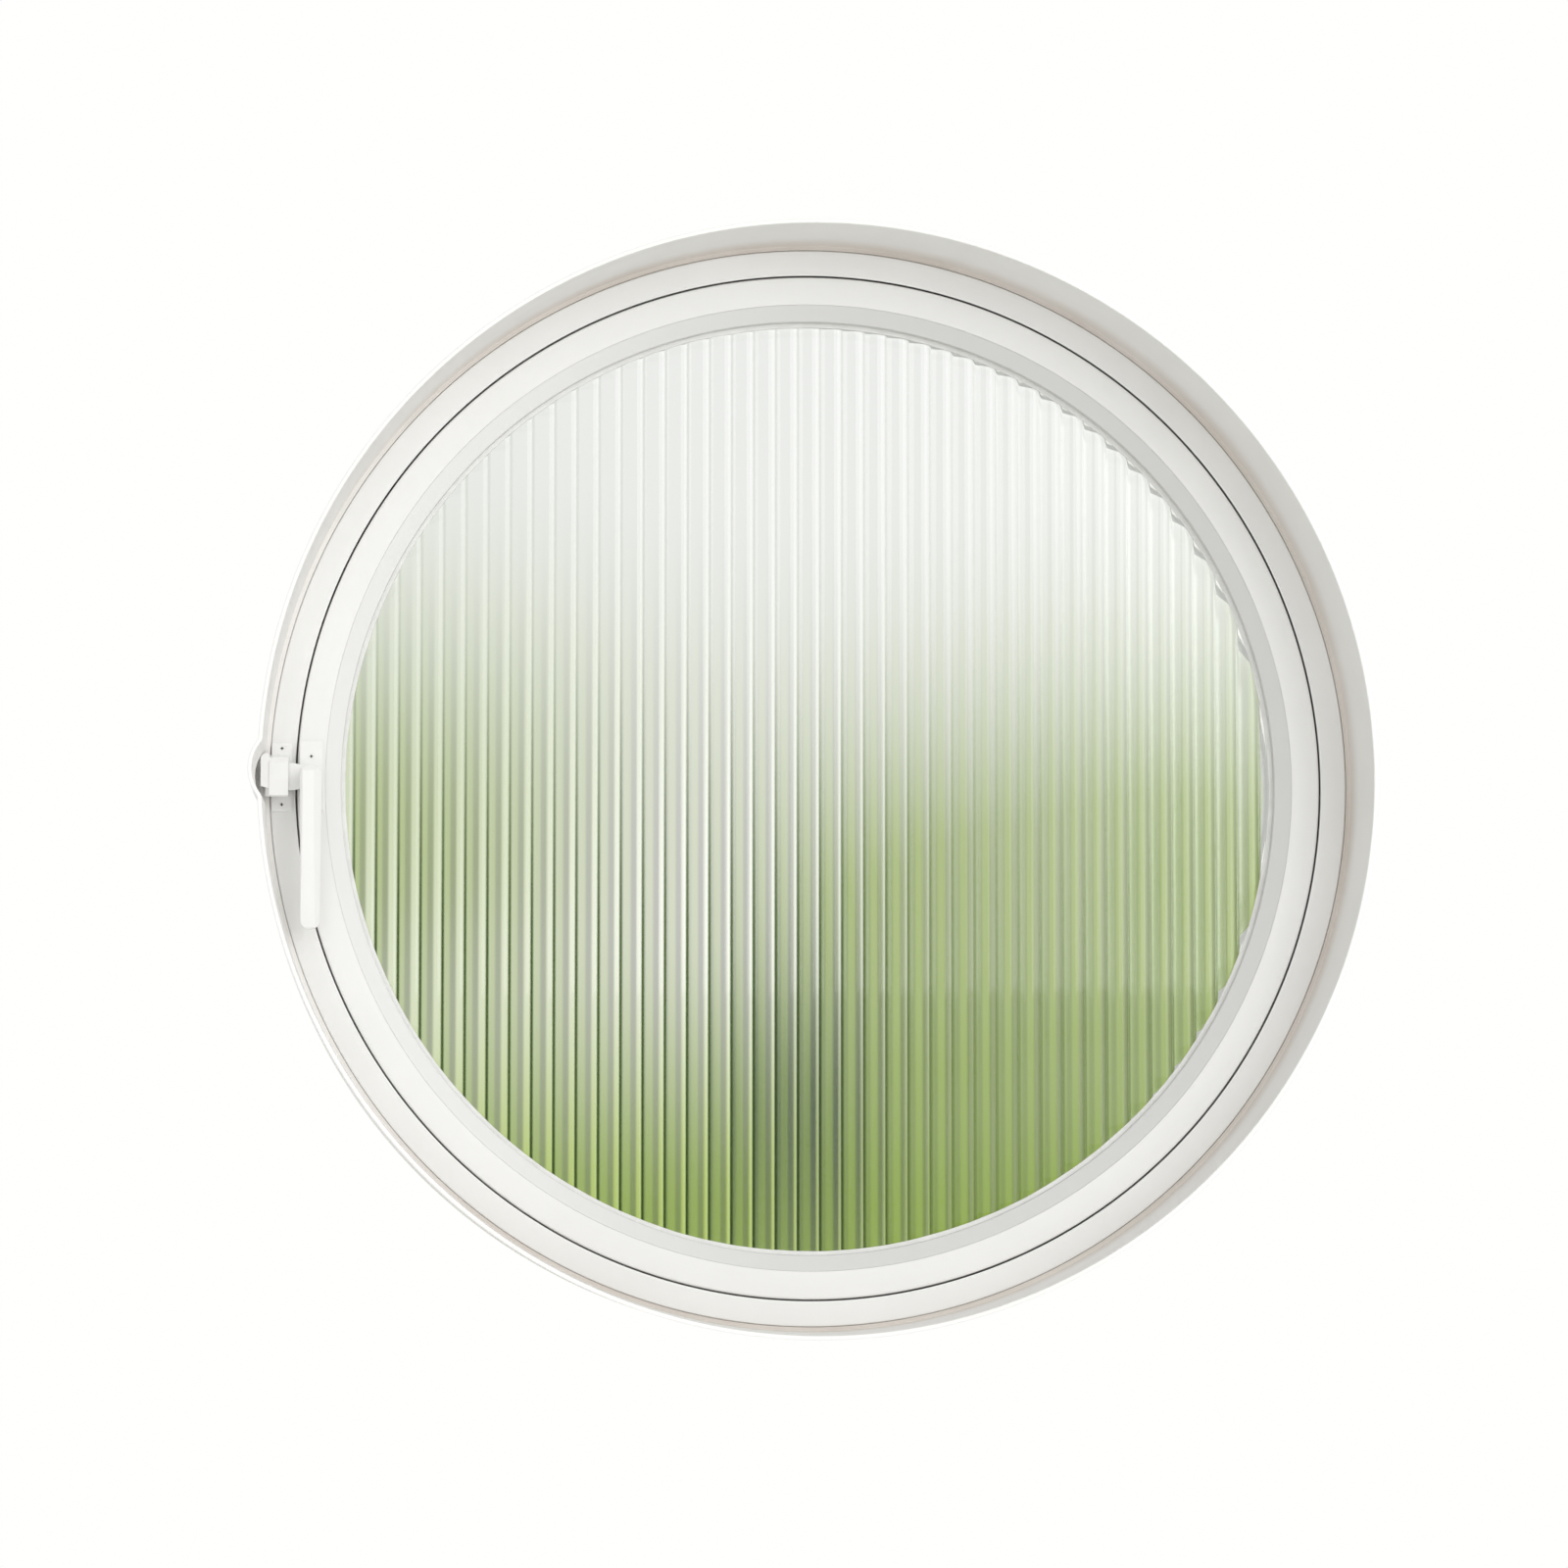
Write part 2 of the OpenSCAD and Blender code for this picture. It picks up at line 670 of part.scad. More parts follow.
// Lever: one casting of hub, tongue, cranked grip and riveted spindle
module lever() {
    end_z = pivot_z - lever_len;
    top_z = pivot_z + hub_r;
    boss_r = hub_r - 0.5;
    tongue_root = min(tongue_h / 2 - 2, hub_r - 1);
    color("white") union() {
        intersection() {
            side_extrude(pivot_x - lever_w, pivot_x + lever_w) polygon(concat(
                [[tongue_end_p, top_z + 1], [tongue_end_p, pivot_z - hub_r - 2],
                 [grip_p - 3, pivot_z - neck_drop], [grip_p, pivot_z - neck_drop - 8],
                 [grip_p + 0.5, end_z + 3]],
                arc(grip_p + 3, end_z + 3, 2.5, 180, 270, 3),
                arc(grip_end_p - 4, end_z + 3, 3, 270, 360, 3),
                [[grip_end_p, pivot_z - neck_drop], [grip_end_p, top_z - lever_bevel],
                 [grip_end_p - lever_bevel - 1, top_z + 1]]));
            front_extrude(0, grip_end_p + 1) polygon(concat(
                arc(pivot_x, pivot_z, hub_r, 0, 180, 16),
                arc(pivot_x, end_z + lever_end_r, lever_end_r, 180, 360, 16)));
            linear_extrude(face_d, center = true) polygon([
                [pivot_x - lever_w, room_y],
                [pivot_x - lever_w, room_y - grip_end_p + lever_w - left_bevel],
                [pivot_x - left_bevel, room_y - grip_end_p],
                [pivot_x + right_bevel, room_y - grip_end_p],
                [pivot_x + lever_w, room_y - grip_end_p + lever_w - right_bevel],
                [pivot_x + lever_w, room_y]]);
        }
        front_extrude(tongue_p, tongue_end_p) polygon([
            [pivot_x, pivot_z + tongue_root],
            [box_right + 4, pivot_z + tongue_h / 2],
            [pivot_x - tongue_len + 1.5, pivot_z + tongue_h / 2],
            [pivot_x - tongue_len, pivot_z + tongue_h / 2 - 1.5],
            [pivot_x - tongue_len, pivot_z - tongue_h / 2 + 2.5],
            [pivot_x - tongue_len + 2.5, pivot_z - tongue_h / 2],
            [box_right + 4, pivot_z - tongue_h / 2],
            [pivot_x, pivot_z - tongue_root]]);
        peg(pivot_x, pivot_z, boss_r, hub_p, tongue_end_p + 1);
        peg(pivot_x, pivot_z, spindle_r, rivet_t - 0.2, hub_p + 1);
        peg(pivot_x, pivot_z, spindle_r + 1.3, 0.2, rivet_t);
    }
}

// Washer under the riveted end of the spindle
module spindle_washer() {
    color("silver") difference() {
        peg(pivot_x, pivot_z, hub_r - 1, rivet_t, rivet_t + washer_t);
        peg(pivot_x, pivot_z, spindle_r + running_play, -1, recess_t + 1);
    }
}

outer_frame();
reveal_lining();
frame_seal();
fixing_straps();
strap_screws();
keeper();
keeper_pad();
keeper_screws();
upper_hinge_frame_leaf();
lower_hinge_frame_leaf();
frame_leaf_screws();
upper_hinge_pin();
lower_hinge_pin();
sash_ring();
glazing_bead();
inner_gasket();
reeded_pane();
spacer_bar();
edge_seal();
outer_pane();
outer_gasket();
setting_blocks();
handle_base();
handle_base_screws();
upper_hinge_sash_leaf();
lower_hinge_sash_leaf();
sash_leaf_screws();
lever();
spindle_washer();
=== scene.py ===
# %% [markdown]
# # A round basement window, dressed in Blender
# The solids of this window come from CAD and are already at their real size and place.
# This lesson puts a finished skin over them: turned white rings, a reeded pane, a cast lever,
# and a finish for every material. Lengths are in metres. X runs right and Z up as seen from the
# room, and Y runs outwards through the wall.

# %% Load the fixed frame
import json
import math

import bmesh
import bpy
import numpy as np
from mathutils import Matrix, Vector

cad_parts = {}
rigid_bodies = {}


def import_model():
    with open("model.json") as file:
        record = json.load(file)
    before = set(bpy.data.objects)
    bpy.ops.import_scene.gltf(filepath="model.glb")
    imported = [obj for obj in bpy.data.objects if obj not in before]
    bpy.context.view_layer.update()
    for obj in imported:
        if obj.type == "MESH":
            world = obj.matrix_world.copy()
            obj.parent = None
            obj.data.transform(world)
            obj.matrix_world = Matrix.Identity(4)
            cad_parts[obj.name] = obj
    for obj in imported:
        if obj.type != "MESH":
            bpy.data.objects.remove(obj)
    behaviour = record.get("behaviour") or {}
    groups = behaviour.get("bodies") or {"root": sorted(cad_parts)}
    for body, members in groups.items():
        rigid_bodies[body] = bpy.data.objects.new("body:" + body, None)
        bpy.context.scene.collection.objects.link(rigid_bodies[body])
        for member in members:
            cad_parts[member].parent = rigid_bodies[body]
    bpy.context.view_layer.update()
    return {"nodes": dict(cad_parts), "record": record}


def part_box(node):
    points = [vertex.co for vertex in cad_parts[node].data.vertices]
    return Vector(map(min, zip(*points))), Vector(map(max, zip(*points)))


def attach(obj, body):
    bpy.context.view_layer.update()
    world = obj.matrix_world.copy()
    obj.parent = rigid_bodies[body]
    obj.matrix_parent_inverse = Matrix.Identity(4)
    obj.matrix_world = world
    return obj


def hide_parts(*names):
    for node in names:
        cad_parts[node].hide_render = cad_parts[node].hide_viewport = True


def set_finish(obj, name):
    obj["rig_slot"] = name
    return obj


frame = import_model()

mm = 0.001
nodes = frame["nodes"]
body_of = {n: b for b, members in frame["record"]["behaviour"]["bodies"].items() for n in members}
slot_of = {s["node"]: s["material_slot"] for s in frame["record"]["subparts"]}

# %% [markdown]
# ## The camera
# The photograph was taken a few steps back, a little below the window and to its left: the far
# side of the deep lining shows at the upper right. The centre of the frame's face lies slightly
# right of and below the middle of the image. A small turn of the camera does that, with no shift.

# %% Place the camera
IMAGE_PX = 1600
PX_M = 0.7286 * mm
SENSOR_MM = 36.0
CLIP_END = 60
DISTANCE = 4.2
AIM_LEFT_PX, AIM_UP_PX = 27.8, 1.2
LENS_TRIM = 1.0027
AZIMUTH, ELEVATION = math.radians(-4.25), math.radians(-4.05)
face_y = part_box("outer_frame")[0].y
back = np.array([math.sin(AZIMUTH) * math.cos(ELEVATION),
                 -math.cos(AZIMUTH) * math.cos(ELEVATION), math.sin(ELEVATION)])
right = np.array([math.cos(AZIMUTH), math.sin(AZIMUTH), 0.0])
up = np.cross(back, right)
face_centre = np.array([0.0, face_y, 0.0])
aim = face_centre - right * AIM_LEFT_PX * PX_M + up * AIM_UP_PX * PX_M
eye = face_centre + back * DISTANCE
look = (aim - eye) / np.linalg.norm(aim - eye)

camera_data = bpy.data.cameras.new("camera")
camera_data.sensor_width = SENSOR_MM
camera_data.lens = SENSOR_MM * DISTANCE / (IMAGE_PX * PX_M) * LENS_TRIM
camera_data.clip_end = CLIP_END
camera = bpy.data.objects.new("camera", camera_data)
bpy.context.scene.collection.objects.link(camera)
side = np.cross(look, [0, 0, 1])
side /= np.linalg.norm(side)
turn = np.column_stack([side, np.cross(side, look), -look])
pose = np.eye(4)
pose[:3, :3], pose[:3, 3] = turn, eye
camera.matrix_world = Matrix(pose.tolist())
bpy.context.scene.camera = camera
print("camera at", np.round(eye, 3).tolist(), "lens", round(camera_data.lens, 1), "mm")

# %% [markdown]
# ## Turned rings
# Most of the window is turned: a section carried round one axis. A section is a short list of
# corners with a rounding each. Every corner becomes a small curve with one more point a little
# way out on both flats, so that smooth shading stays on the curve and the wide faces stay flat.

# %% Sections, grids and meshes
TURNS = 480


def rounded(corners, steps=5, support=0.25 * mm):
    """A closed section with rounded corners.

    Each corner (radius from the axis, depth, rounding) is swapped for the quadratic curve
    (1-s)^2 A + 2 s (1-s) P + s^2 B between the points A and B at the rounding's distance from
    the corner P along both of its sides, with one support point beyond A and one beyond B."""
    c = np.array(corners, float) * mm
    p, size = c[:, :2], c[:, 2]
    before, after = np.roll(p, 1, 0) - p, np.roll(p, -1, 0) - p
    len_a, len_b = np.linalg.norm(before, axis=1), np.linalg.norm(after, axis=1)
    reach = np.minimum(size, 0.42 * np.minimum(len_a, len_b))
    a = p + before / len_a[:, None] * reach[:, None]
    b = p + after / len_b[:, None] * reach[:, None]
    s = np.linspace(0, 1, steps)[None, :, None]
    curve = (1 - s) ** 2 * a[:, None] + 2 * s * (1 - s) * p[:, None] + s ** 2 * b[:, None]
    extra = np.minimum(support, 0.05 * np.minimum(len_a, len_b))
    first = p + before / len_a[:, None] * (reach + extra)[:, None]
    last = p + after / len_b[:, None] * (reach + extra)[:, None]
    return np.concatenate([first[:, None], curve, last[:, None]], 1).reshape(-1, 2)


def grid_faces(rows, cols, wrap_rows=True, wrap_cols=True):
    """Four-sided faces between neighbours of a grid of points, closed up where it wraps."""
    i = np.arange(rows if wrap_rows else rows - 1)[:, None]
    j = np.arange(cols if wrap_cols else cols - 1)[None, :]
    i2, j2 = (i + 1) % rows, (j + 1) % cols
    return np.stack([i * cols + j, i2 * cols + j, i2 * cols + j2, i * cols + j2], -1).reshape(-1, 4)


def make_piece(name, points, faces, sharp_deg=35):
    """A mesh object from points and faces: turned right side out by the sign of its volume."""
    points = points.reshape(-1, 3)
    corner = points[faces]
    volume = np.einsum("ij,ij->i", corner[:, 0], np.cross(corner[:, 1], corner[:, 2])).sum()
    volume += np.einsum("ij,ij->i", corner[:, 0], np.cross(corner[:, 2], corner[:, -1])).sum()
    if volume < 0:
        faces = faces[:, ::-1]
    mesh = bpy.data.meshes.new(name)
    mesh.from_pydata(points.tolist(), [], faces.tolist())
    mesh.polygons.foreach_set("use_smooth", np.ones(len(faces), bool))
    mesh.set_sharp_from_angle(angle=math.radians(sharp_deg))
    piece = bpy.data.objects.new(name, mesh)
    bpy.context.scene.collection.objects.link(piece)
    return piece


def turned(name, section, angles=None, shape=None):
    """A section (r, y) carried round the Y axis: x = r cos t, z = r sin t.

    shape(t, r, y) may give another radius at each angle."""
    t = np.linspace(0, 2 * math.pi, TURNS, endpoint=False) if angles is None else angles
    r, y = (np.broadcast_to(v[None, :], (len(t), len(section))) for v in section.T)
    t = t[:, None]
    if shape is not None:
        r = shape(t, r, y)
    points = np.stack([r * np.cos(t), y, r * np.sin(t)], -1)
    return make_piece(name, points, grid_faces(*points.shape[:2]))


def settle(piece, node):
    """The piece stands for a CAD node: it rides on the node's body and takes its finish."""
    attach(piece, body_of[node])
    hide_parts(node)
    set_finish(piece, slot_of[node])
    print(f"{piece.name}: {len(piece.data.polygons)} faces for {node} on {body_of[node]}")
    return piece


# %% [markdown]
# ## The fixed frame
# A real frame like this is a bent profile: a flat visible face, a lip that covers the sash's
# edge and leans back a little, a shoulder with a groove for the seal, a wall seat, and a short
# spigot in front for the lining. Four shallow recesses in the seat take the fixing straps, so
# the radius there depends on the angle. Turning the section is the plainest way to make it.

# %% Turn the fixed frame
low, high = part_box("outer_frame")
SEAT_R, ROOM_Y, OUT_Y = high.x / mm, low.y / mm, high.y / mm
FACE_R, LIP_R, WALL_IN_R = 400.0, 381.0, 393.0
SHOULDER_Y, SPIGOT_Y = -12.0, -26.0
LIP_BACK_R, SEAL_W, SEAL_DEEP = 383.7, 3.0, 3.0
SEAL_R = LIP_BACK_R + 2
TONGUE_IN, TONGUE_OUT, TONGUE_Y = 402.4, 405.0, -21.0
EDGE = 1.5
STRAP_FLOOR_R, STRAP_HALF_W, RECESS_Y = 405.7, 12.6, -8.1

frame_section = rounded([
    (LIP_R, ROOM_Y, EDGE), (FACE_R, ROOM_Y, EDGE), (FACE_R, SPIGOT_Y, 0.2),
    (TONGUE_IN, SPIGOT_Y, 0.2), (TONGUE_IN, TONGUE_Y, 0.2), (TONGUE_OUT, TONGUE_Y, 0.2),
    (TONGUE_OUT, SPIGOT_Y, 0.2), (SEAT_R, SPIGOT_Y, 0.4),
    (SEAT_R, RECESS_Y - 0.01, 0.001), (SEAT_R, RECESS_Y + 0.01, 0.001),
    (SEAT_R, OUT_Y - 1, 0.5), (SEAT_R - 1, OUT_Y, 0.5),
    (WALL_IN_R + 2.5, OUT_Y, 0.8), (WALL_IN_R, OUT_Y - 2.5, 0.8), (WALL_IN_R, SHOULDER_Y, 0.5),
    (SEAL_R + SEAL_W, SHOULDER_Y, 0.3), (SEAL_R + SEAL_W, SHOULDER_Y - SEAL_DEEP, 0.2),
    (SEAL_R, SHOULDER_Y - SEAL_DEEP, 0.2), (SEAL_R, SHOULDER_Y, 0.3), (LIP_BACK_R, SHOULDER_Y, 0.6)])
strap_turns = np.radians([0, 90, 180, 270])
recess_half = math.asin(STRAP_HALF_W / SEAT_R)
both_sides = np.array([-1, 1])
recess_edges = (strap_turns[:, None] + both_sides * recess_half)[..., None] + both_sides * 1e-5
even_angles = np.linspace(0, 2 * math.pi, TURNS, endpoint=False) + 1e-3
frame_angles = np.sort(np.concatenate([even_angles, recess_edges.ravel() % (2 * math.pi)]))


def strap_recesses(t, r, y):
    """The radius of the seat falls to the strap's floor within half a strap of each strap's angle."""
    off = np.abs((t[..., None] - strap_turns + math.pi) % (2 * math.pi) - math.pi).min(-1)
    inside = (off < recess_half) & (y > RECESS_Y * mm) & (r > STRAP_FLOOR_R * mm)
    return np.where(inside, STRAP_FLOOR_R * mm, r)


settle(
    turned("frame_ring", frame_section, angles=frame_angles, shape=strap_recesses), "outer_frame")

# %% [markdown]
# ## The reveal lining
# A matt ring slips over the spigot and lines the edge of the wall. A cove leads from the frame
# to its thin wall, which ends in a round lip. Beside the latch it bulges into a round pocket, so
# that the keeper has room. The ring's radius is therefore the larger of two circles: the ring's
# own, and the pocket's, seen from the window's axis.

# %% Turn the lining with its pocket
LINING_FRONT_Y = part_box("reveal_lining")[0].y / mm
LINING_OUT_R, LINING_IN_R, LINING_CLEAR_R = 407.2, 400.2, 403.4
LIP_IN_R = LINING_OUT_R - 3.2
POCKET_X, POCKET_Z, POCKET_R, POCKET_WALL = -380.0, 3.6, 30.5, 3.5
FLOOR_Y, POCKET_BACK_Y = -34.6, -30.0
POCKET_BLEND, POCKET_REACH = 1.2, 12
POCKET_HALF_TURN, RING_START = 0.085, 0.09
cove = LINING_CLEAR_R - LINING_IN_R

lining_section = rounded([
    (LINING_IN_R, SPIGOT_Y, 0.2), (LINING_IN_R, FLOOR_Y, 0.05), (LINING_IN_R, FLOOR_Y - 0.1, 0.02),
    (LINING_CLEAR_R, FLOOR_Y - 0.3, cove), (LINING_CLEAR_R, FLOOR_Y - 14, 3),
    (LIP_IN_R, LINING_FRONT_Y, 1.55), (LINING_OUT_R, LINING_FRONT_Y, 1.55),
    (LINING_OUT_R, POCKET_BACK_Y - 0.6, 0.3), (LINING_OUT_R, POCKET_BACK_Y, 0.1),
    (LINING_OUT_R, SPIGOT_Y, 0.4), (TONGUE_OUT - 0.2, SPIGOT_Y, 0.1),
    (TONGUE_OUT - 0.2, TONGUE_Y - 0.2, 0.3), (TONGUE_IN + 0.2, TONGUE_Y - 0.2, 0.3),
    (TONGUE_IN + 0.2, SPIGOT_Y, 0.1)], steps=7)
pocket_turn = math.atan2(POCKET_Z, POCKET_X)
fine = np.linspace(-POCKET_HALF_TURN, POCKET_HALF_TURN, 161) + pocket_turn
coarse = np.linspace(RING_START, 2 * math.pi - RING_START, 460) + pocket_turn
lining_angles = np.concatenate([fine, coarse])


def pocket_bulge(t, r, y):
    """The larger of the ring's radius and the pocket circle's radius as seen from the axis.

    A circle of radius R about the point c is met by the ray u(t) at c.u + sqrt(R^2 - |c|^2 + (c.u)^2).
    R follows the ring's own section, so the pocket keeps a wall. The two radii are blended over
    about two millimetres, and behind the pocket's back the ring stays round."""
    centre = np.array([POCKET_X, POCKET_Z]) * mm
    along = centre[0] * np.cos(t) + centre[1] * np.sin(t)
    wall = POCKET_WALL / (LINING_OUT_R - LINING_CLEAR_R)
    big = POCKET_R * mm + (r - LINING_CLEAR_R * mm) * wall
    under = big ** 2 - (centre ** 2).sum() + along ** 2
    met = np.where(under > 0, along + np.sqrt(np.maximum(under, 0)), 0)
    blend = POCKET_BLEND * mm
    gain = met - r
    softened = 0.5 * (gain + np.sqrt(gain ** 2 + blend ** 2))
    joined = r + softened - 0.5 * blend * np.exp(-(gain / blend) ** 2 * 0.05)
    outer_side = r > LINING_CLEAR_R * mm + 1.9 * mm
    before_floor = y < (FLOOR_Y - 0.05) * mm
    front = (y < (POCKET_BACK_Y - 0.3) * mm) & (outer_side | before_floor)
    return np.where(front & (under > 0) & (gain > -POCKET_REACH * mm), np.maximum(joined, r), r)


settle(
    turned("lining_ring", lining_section, angles=lining_angles, shape=pocket_bulge), "reveal_lining")

# %% [markdown]
# ## The sash, its bead and the soft strip
# The sash is the ring that swings. Its nose stands in the room just inside the lip, its flange
# closes on the seal, and a rebate holds the glass. A bevelled bead snaps into the rebate: CAD has
# it in four lengths, and their joints are thinner than a pixel, so it is one ring here. A pale
# rubber strip shows as a thin line between the bead and the glass.

# %% Turn the sash, the bead and the strip
NOSE_R, REBATE_R, FLANGE_R = 379.7, 359.3, 390.0
FLANGE_Y, NOSE_BACK_R = -9.0, 382.33
LEG_R, LEG_Y, LEG_SLOPE = 350.1, 16.0, 7.0
GROOVE, GROOVE_Y, GROOVE_W = 2.4, -23.0, 4.0
BEAD_R, BEAD_BACK_Y, BEVEL = 347.6, -16.0, 10.0
PANE_Y, PANE_BACK_Y, PANE_R = -13.0, -7.0, 356.1
STRIP_R = BEAD_R - 3

sash_section = rounded([
    (REBATE_R, ROOM_Y, 0.25), (NOSE_R, ROOM_Y, EDGE), (NOSE_BACK_R, FLANGE_Y, 0.6),
    (FLANGE_R, FLANGE_Y, 0.8), (FLANGE_R, OUT_Y - 2, 0.8), (FLANGE_R - 2, OUT_Y, 0.8),
    (LEG_R + LEG_SLOPE, OUT_Y, 1.2), (LEG_R, OUT_Y - LEG_SLOPE, 1.2), (LEG_R, LEG_Y, 0.5),
    (REBATE_R, LEG_Y, 0.4), (REBATE_R, GROOVE_Y + GROOVE_W, 0.2),
    (REBATE_R + GROOVE, GROOVE_Y + GROOVE_W, 0.2), (REBATE_R + GROOVE, GROOVE_Y, 0.2),
    (REBATE_R, GROOVE_Y, 0.2)])
bead_section = rounded([
    (REBATE_R - 0.1, ROOM_Y + 0.2, 0.5), (BEAD_R + 0.35, ROOM_Y + BEVEL - 0.9, 0.9),
    (BEAD_R, ROOM_Y + BEVEL, 0.5), (BEAD_R, BEAD_BACK_Y, 0.4), (REBATE_R - 0.1, BEAD_BACK_Y, 0.2),
    (REBATE_R - 0.1, GROOVE_Y + GROOVE_W - 0.1, 0.1),
    (REBATE_R + GROOVE - 0.2, GROOVE_Y + GROOVE_W - 0.1, 0.3),
    (REBATE_R + GROOVE - 0.2, GROOVE_Y + 1.1, 0.3), (REBATE_R - 0.1, GROOVE_Y + 0.1, 0.1)])
strip_section = rounded([
    (STRIP_R, BEAD_BACK_Y, 1.4), (PANE_R - 4, BEAD_BACK_Y, 0.1),
    (PANE_R - 4, PANE_Y, 0.1), (STRIP_R, PANE_Y, 1.4)])


def hand_laid(t, r, y):
    """The strip's free edge wanders by a few hundredths of a millimetre: a sum of sines of the angle."""
    wander = 0.10 * np.sin(17 * t + 1.0) + 0.07 * np.sin(41 * t + 2.1) + 0.05 * np.sin(97 * t)
    return r + wander * mm * (r < (STRIP_R + 1.5) * mm)


settle(turned("sash_turned", sash_section), "sash_ring")
settle(turned("bead_turned", bead_section), "glazing_bead")
settle(turned("glass_strip", strip_section, shape=hand_laid), "inner_gasket")

# %% [markdown]
# ## The reeded glass
# The inner pane carries upright reeds, each a shallow rounded rib. They bend the view sideways
# and break what lies behind into stripes. A bump map wouldn't bend the light through the pane,
# so the ribs are real: columns of points about 0.6 mm apart, cut off by the pane's circle.

# %% Form the reeded pane
PITCH, REED_H, PER_REED = 16.5, 1.2, 28
VALLEY_RISE, VALLEY_HALF_W = 0.16, 0.45
LEVELS = 9
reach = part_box("reeded_pane")[1].x / mm
count = int(2 * reach / PITCH * PER_REED)
x = np.linspace(-1, 1, count) * (reach - 0.02)
x = np.sort(np.concatenate([x, reach * np.sin(np.linspace(-0.5, 0.5, 80) * math.pi) * 0.99994]))
reed_arc = (PITCH ** 2 / 4 + REED_H ** 2) / (2 * REED_H)
place = (x / PITCH + 0.5) % 1 - 0.5
rib = reed_arc - np.sqrt(reed_arc ** 2 - (place * PITCH) ** 2)
valley = VALLEY_RISE * np.exp(-((np.abs(place) - 0.5) * PITCH / VALLEY_HALF_W) ** 2)
front_y = PANE_Y + np.maximum(rib - valley, 0)
half = np.sqrt(np.maximum(reach ** 2 - x ** 2, 0.01))
levels = np.linspace(-1, 1, LEVELS)
sheet = np.stack([np.broadcast_to(x[:, None], (len(x), LEVELS)),
                  np.broadcast_to(front_y[:, None], (len(x), LEVELS)),
                  half[:, None] * levels], -1)
rear = sheet[:, ::-1].copy()
rear[..., 1] = PANE_BACK_Y
loop = np.concatenate([sheet, rear], 1) * mm
pane_faces = grid_faces(*loop.shape[:2], wrap_rows=False)
pane = make_piece("reeded_glass_pane", loop, pane_faces, sharp_deg=50)
ends = bmesh.new()
ends.from_mesh(pane.data)
bmesh.ops.holes_fill(ends, edges=[e for e in ends.edges if e.is_boundary])
bmesh.ops.recalc_face_normals(ends, faces=ends.faces)
ends.to_mesh(pane.data)
ends.free()
settle(pane, "reeded_pane")

# %% [markdown]
# ## Cast, pressed and turned fittings
# The lever, the keeper, the plate, the hinges, the straps and the screws keep the exact form that
# CAD gave them, so their skins start from copies of the CAD meshes. A CAD mesh is loose triangles:
# the copy is merged, its flat areas become single faces, and a Bevel eases every edge, as casting,
# pressing and powder coating do.

# %% Ease the edges of the fittings
def eased(node, width, segments=3):
    """A merged copy of a CAD node, with flat areas joined and edges over 30 degrees eased."""
    work = bmesh.new()
    work.from_mesh(nodes[node].data)
    bmesh.ops.remove_doubles(work, verts=work.verts, dist=2e-6)
    bmesh.ops.dissolve_limit(work, angle_limit=math.radians(0.6), verts=work.verts, edges=work.edges)
    bmesh.ops.recalc_face_normals(work, faces=work.faces)
    mesh = bpy.data.meshes.new(f"{node}_eased")
    work.to_mesh(mesh)
    work.free()
    mesh.polygons.foreach_set("use_smooth", np.ones(len(mesh.polygons), bool))
    piece = bpy.data.objects.new(f"{node}_eased", mesh)
    bpy.context.scene.collection.objects.link(piece)
    ease = piece.modifiers.new("ease", "BEVEL")
    ease.width, ease.segments = width * mm, segments
    ease.limit_method, ease.angle_limit = "ANGLE", math.radians(30)
    ease.use_clamp_overlap, ease.miter_outer = True, "MITER_ARC"
    even = piece.modifiers.new("even", "WEIGHTED_NORMAL")
    even.keep_sharp = True
    return settle(piece, node)


EASING = {
    "lever": 1.1, "keeper": 0.7, "handle_base": 0.6, "fixing_straps": 0.3,
    "upper_hinge_frame_leaf": 0.35, "lower_hinge_frame_leaf": 0.35,
    "upper_hinge_sash_leaf": 0.35, "lower_hinge_sash_leaf": 0.35,
    "upper_hinge_pin": 0.4, "lower_hinge_pin": 0.4,
    "keeper_screws": 0.1, "handle_base_screws": 0.1, "frame_leaf_screws": 0.1,
    "sash_leaf_screws": 0.1, "strap_screws": 0.1,
}
fittings = {node: eased(node, width) for node, width in EASING.items()}

# %% [markdown]
# ## A small language for finishes
# Every finish is a node tree. Writing the trees as Python expressions keeps them readable: a Wire
# holds one output socket and knows how to add, subtract, multiply and so on, and a Finish makes
# any other node from its type, its settings and its inputs.

# %% Wires and finishes
class Wire:
    """One output socket that takes part in arithmetic by adding Math nodes."""

    def __init__(self, tree, socket):
        self.tree, self.socket = tree, socket

    def math(self, operation, *values, clamp=False):
        node = self.tree.nodes.new("ShaderNodeMath")
        node.operation, node.use_clamp = operation, clamp
        for slot, value in zip(node.inputs, values):
            if isinstance(value, Wire):
                self.tree.links.new(value.socket, slot)
            else:
                slot.default_value = value
        return Wire(self.tree, node.outputs[0])

    def __add__(self, other): return self.math("ADD", self, other)
    def __radd__(self, other): return self.math("ADD", other, self)
    def __sub__(self, other): return self.math("SUBTRACT", self, other)
    def __rsub__(self, other): return self.math("SUBTRACT", other, self)
    def __mul__(self, other): return self.math("MULTIPLY", self, other)
    def __rmul__(self, other): return self.math("MULTIPLY", other, self)
    def __truediv__(self, other): return self.math("DIVIDE", self, other)
    def clip(self): return self.math("ADD", self, 0.0, clamp=True)

    def step(self, low, high):
        """Smooth step from 0 at low to 1 at high: t*t*(3-2t) of the clamped share t."""
        t = ((self - low) / (high - low)).clip()
        return t * t * (3 - 2 * t)


